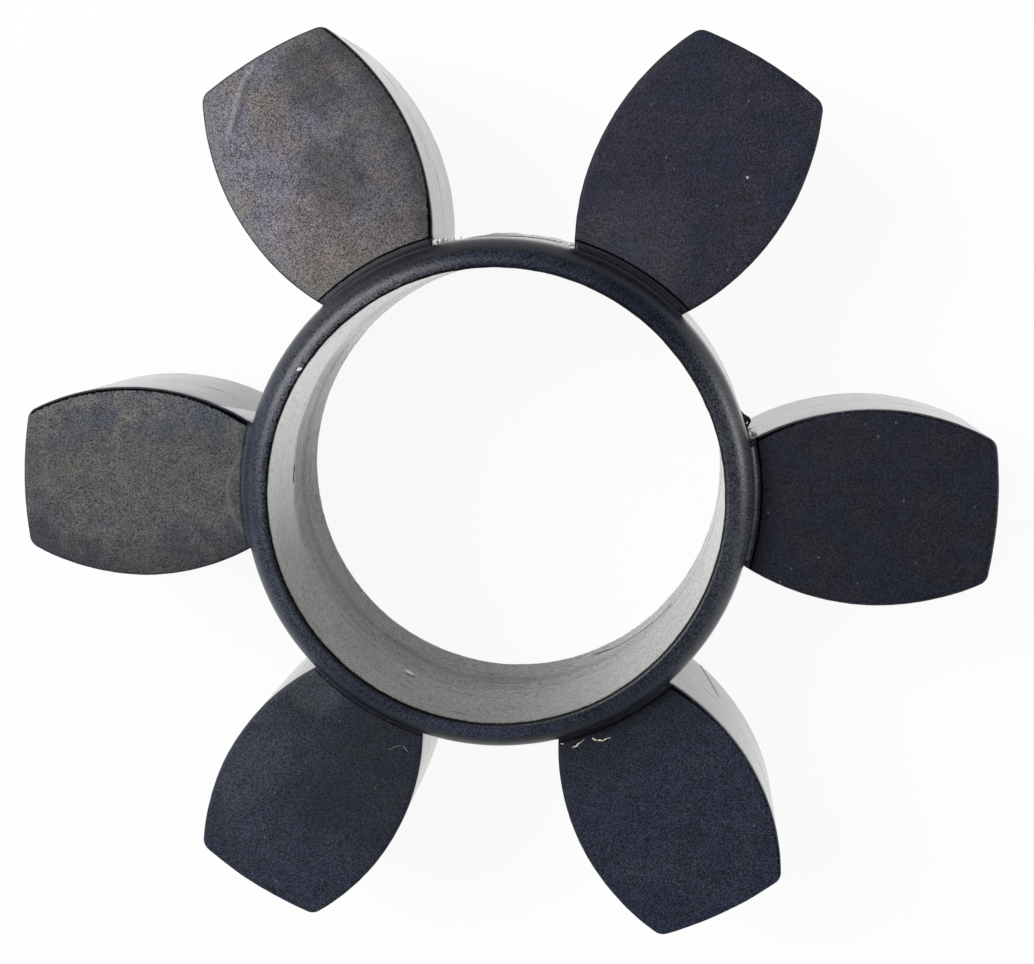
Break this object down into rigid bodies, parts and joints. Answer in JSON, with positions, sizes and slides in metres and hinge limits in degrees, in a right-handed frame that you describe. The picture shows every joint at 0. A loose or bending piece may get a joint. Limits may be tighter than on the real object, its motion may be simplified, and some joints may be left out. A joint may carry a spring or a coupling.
{
  "type": "jaw coupling spider",
  "caption": "Moulded black rubber spider of a jaw coupling: a thin ring with a proud rounded rim, and crowned legs that lie between the jaws of the hubs and cushion the drive.",
  "frame": {"origin": "on the bore's axis, at mid-height of the ring", "axes": "+Z along the bore, out of the side that the picture shows; +X along one leg"},
  "size_m": [0.15, 0.1384, 0.0436],
  "materials": {
    "black_rubber": "satin, moulded"
  },
  "bodies": {
    "root": {"spider": "black_rubber"}
  },
  "joints": []
}
